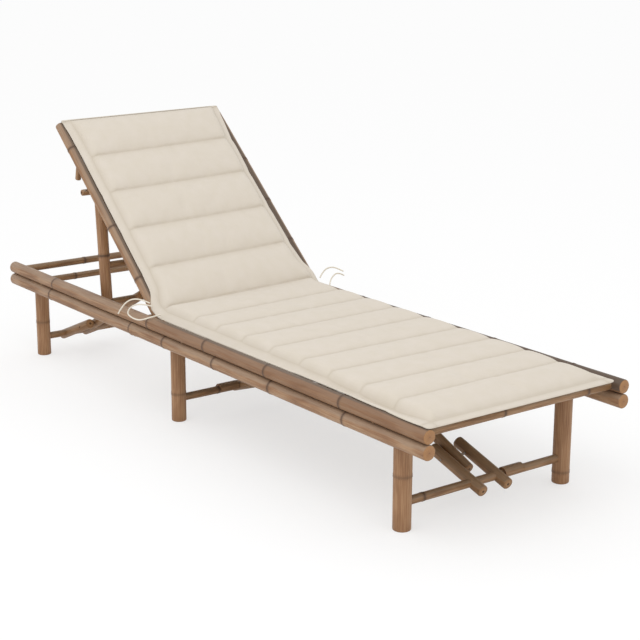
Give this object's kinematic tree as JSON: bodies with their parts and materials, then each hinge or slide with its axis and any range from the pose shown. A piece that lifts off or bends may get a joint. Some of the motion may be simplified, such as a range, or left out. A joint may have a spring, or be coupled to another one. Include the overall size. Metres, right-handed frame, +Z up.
{
  "type": "folding sun lounger",
  "caption": "Long bamboo lounger with a reclining slatted back on a prop, folding braced legs, and a quilted channelled cushion with tie cords.",
  "frame": {"origin": "on the floor, under the middle of the bed", "axes": "+X to the foot end, +Y to the far side seen in the picture, +Z up"},
  "size_m": [2, 0.6979, 0.7738],
  "materials": {
    "rail_bamboo": "satin, weathered",
    "pole_bamboo": "satin, weathered",
    "bar_bamboo": "satin, brown",
    "strip_bamboo": "satin, split strips",
    "canvas": "woven, quilted",
    "tie_cord": "woven tape",
    "pin_steel": "dull"
  },
  "bodies": {
    "bed_frame": {"upper_rail_near": "rail_bamboo", "lower_rail_near": "rail_bamboo", "upper_rail_far": "rail_bamboo", "lower_rail_far": "rail_bamboo", "head_crossbar": "bar_bamboo", "foot_crossbar": "bar_bamboo", "seat_rungs": "bar_bamboo", "backrest_axle": "bar_bamboo", "head_leg_axle": "bar_bamboo", "prop_rest_bar": "bar_bamboo", "middle_leg_axle": "bar_bamboo", "middle_anchor_bar": "bar_bamboo", "foot_leg_axle": "bar_bamboo", "foot_anchor_bar": "bar_bamboo", "rail_dowels": "bar_bamboo", "seat_slats": "strip_bamboo", "cushion_seat": "canvas", "tie_near_loop": "tie_cord", "tie_near_strand": "tie_cord", "tie_far_loop": "tie_cord", "tie_far_strand": "tie_cord"},
    "backrest": {"back_pole_near": "pole_bamboo", "back_pole_far": "pole_bamboo", "back_rungs": "bar_bamboo", "back_slats": "strip_bamboo", "prop_rod": "bar_bamboo", "back_peg_near": "pole_bamboo", "back_peg_far": "pole_bamboo", "cushion_back": "canvas"},
    "prop": {"prop_pole_near": "pole_bamboo", "prop_pole_far": "pole_bamboo", "prop_crossbar": "bar_bamboo"},
    "head_legs": {"head_leg_near": "pole_bamboo", "head_leg_far": "pole_bamboo", "head_stretcher": "bar_bamboo", "head_keeper": "pole_bamboo"},
    "head_brace": {"head_brace_pole_near": "pole_bamboo", "head_brace_pole_far": "pole_bamboo", "head_knee_pins": "pin_steel"},
    "head_link": {"head_link": "pole_bamboo"},
    "middle_legs": {"middle_leg_near": "pole_bamboo", "middle_leg_far": "pole_bamboo", "middle_stretcher": "bar_bamboo", "middle_keeper": "pole_bamboo"},
    "middle_brace": {"middle_brace_pole_near": "pole_bamboo", "middle_brace_pole_far": "pole_bamboo", "middle_knee_pins": "pin_steel"},
    "middle_link": {"middle_link": "pole_bamboo"},
    "foot_legs": {"foot_leg_near": "pole_bamboo", "foot_leg_far": "pole_bamboo", "foot_stretcher": "bar_bamboo", "foot_keeper": "pole_bamboo"},
    "foot_brace": {"foot_brace_pole_near": "pole_bamboo", "foot_brace_pole_far": "pole_bamboo", "foot_knee_pins": "pin_steel"},
    "foot_link": {"foot_link": "pole_bamboo"}
  },
  "joints": [
    {"name": "head_leg_fold", "type": "hinge", "parent": "bed_frame", "child": "head_legs", "pos_m": [-0.919, 0, 0.2382], "axis": [0, -1, 0], "range_deg": [0, 78]},
    {"name": "head_brace_turn", "type": "hinge", "parent": "head_legs", "child": "head_brace", "pos_m": [-0.919, 0, 0.057], "axis": [0, -1, 0], "range_deg": [0, 64.5]},
    {"name": "head_link_turn", "type": "hinge", "parent": "bed_frame", "child": "head_link", "pos_m": [-0.53, 0, 0.247], "axis": [0, -1, 0], "range_deg": [-24.4, 0]},
    {"name": "middle_leg_fold", "type": "hinge", "parent": "bed_frame", "child": "middle_legs", "pos_m": [-0.11, 0, 0.2382], "axis": [0, -1, 0], "range_deg": [0, 78]},
    {"name": "middle_brace_turn", "type": "hinge", "parent": "middle_legs", "child": "middle_brace", "pos_m": [-0.11, 0, 0.064], "axis": [0, -1, 0], "range_deg": [0, 67.9]},
    {"name": "middle_link_turn", "type": "hinge", "parent": "bed_frame", "child": "middle_link", "pos_m": [0.3, 0, 0.2382], "axis": [0, -1, 0], "range_deg": [-22.7, 0]},
    {"name": "foot_leg_fold", "type": "hinge", "parent": "bed_frame", "child": "foot_legs", "pos_m": [0.853, 0, 0.2382], "axis": [0, 1, 0], "range_deg": [0, 78]},
    {"name": "foot_brace_turn", "type": "hinge", "parent": "foot_legs", "child": "foot_brace", "pos_m": [0.853, 0, 0.066], "axis": [0, 1, 0], "range_deg": [0, 69.3]},
    {"name": "foot_link_turn", "type": "hinge", "parent": "bed_frame", "child": "foot_link", "pos_m": [0.405, 0, 0.2382], "axis": [0, 1, 0], "range_deg": [-20.9, 0]},
    {"name": "backrest_recline", "type": "hinge", "parent": "bed_frame", "child": "backrest", "pos_m": [-0.172, 0, 0.275], "axis": [0, 1, 0], "range_deg": [-34.5, 10]},
    {"name": "prop_swing", "type": "hinge", "parent": "backrest", "child": "prop", "pos_m": [-0.5549, 0, 0.57684], "axis": [0, 1, 0], "range_deg": [-40.1, 11.7]}
  ],
  "couplings": [
    {"joint": "head_brace_turn", "follows": "head_leg_fold", "ratio": 0.8258},
    {"joint": "head_link_turn", "follows": "head_leg_fold", "ratio": -0.3117},
    {"joint": "middle_brace_turn", "follows": "middle_leg_fold", "ratio": 0.8698},
    {"joint": "middle_link_turn", "follows": "middle_leg_fold", "ratio": -0.2904},
    {"joint": "foot_brace_turn", "follows": "foot_leg_fold", "ratio": 0.8879},
    {"joint": "foot_link_turn", "follows": "foot_leg_fold", "ratio": -0.2672},
    {"joint": "prop_swing", "follows": "backrest_recline", "ratio": 1.16}
  ]
}
